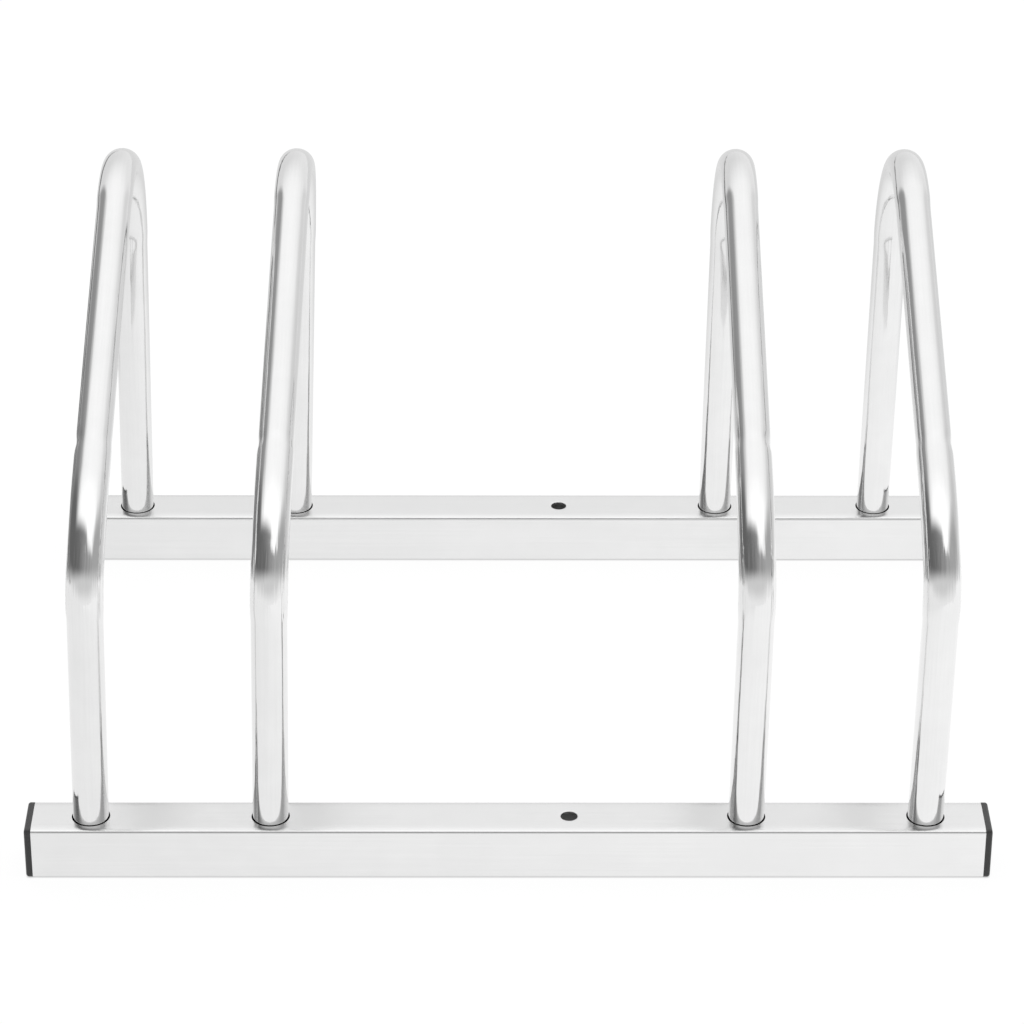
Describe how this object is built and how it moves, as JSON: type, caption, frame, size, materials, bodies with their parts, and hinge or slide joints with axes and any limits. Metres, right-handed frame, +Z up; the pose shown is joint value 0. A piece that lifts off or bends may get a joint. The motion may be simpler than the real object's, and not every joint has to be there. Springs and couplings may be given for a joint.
{
  "type": "floor bike stand",
  "caption": "Low floor stand for bicycles: square steel rails carry pairs of bent tube loops, and each pair holds a wheel upright.",
  "frame": {"origin": "middle of the footprint, on the floor", "axes": "+X along the rails, +Y from the front rail to the rear rail, +Z up"},
  "size_m": [0.43, 0.31, 0.243],
  "materials": {
    "rail_zinc": "bright zinc plated square tube, nearly mirror smooth",
    "loop_zinc": "bright zinc plated round tube, smooth with faint draw lines",
    "cap_plastic": "black moulded plastic, fine matt texture",
    "fastener_steel": "zinc plated screws and threaded plugs"
  },
  "bodies": {
    "root": {"front_rail": "rail_zinc", "rear_rail": "rail_zinc", "outer_left_loop": "loop_zinc", "inner_left_loop": "loop_zinc", "inner_right_loop": "loop_zinc", "outer_right_loop": "loop_zinc", "front_left_end_cap": "cap_plastic", "front_right_end_cap": "cap_plastic", "rear_left_end_cap": "cap_plastic", "rear_right_end_cap": "cap_plastic", "outer_left_front_plug": "fastener_steel", "outer_left_rear_plug": "fastener_steel", "inner_left_front_plug": "fastener_steel", "inner_left_rear_plug": "fastener_steel", "inner_right_front_plug": "fastener_steel", "inner_right_rear_plug": "fastener_steel", "outer_right_front_plug": "fastener_steel", "outer_right_rear_plug": "fastener_steel", "front_rail_screws": "fastener_steel", "rear_rail_screws": "fastener_steel"}
  },
  "joints": []
}
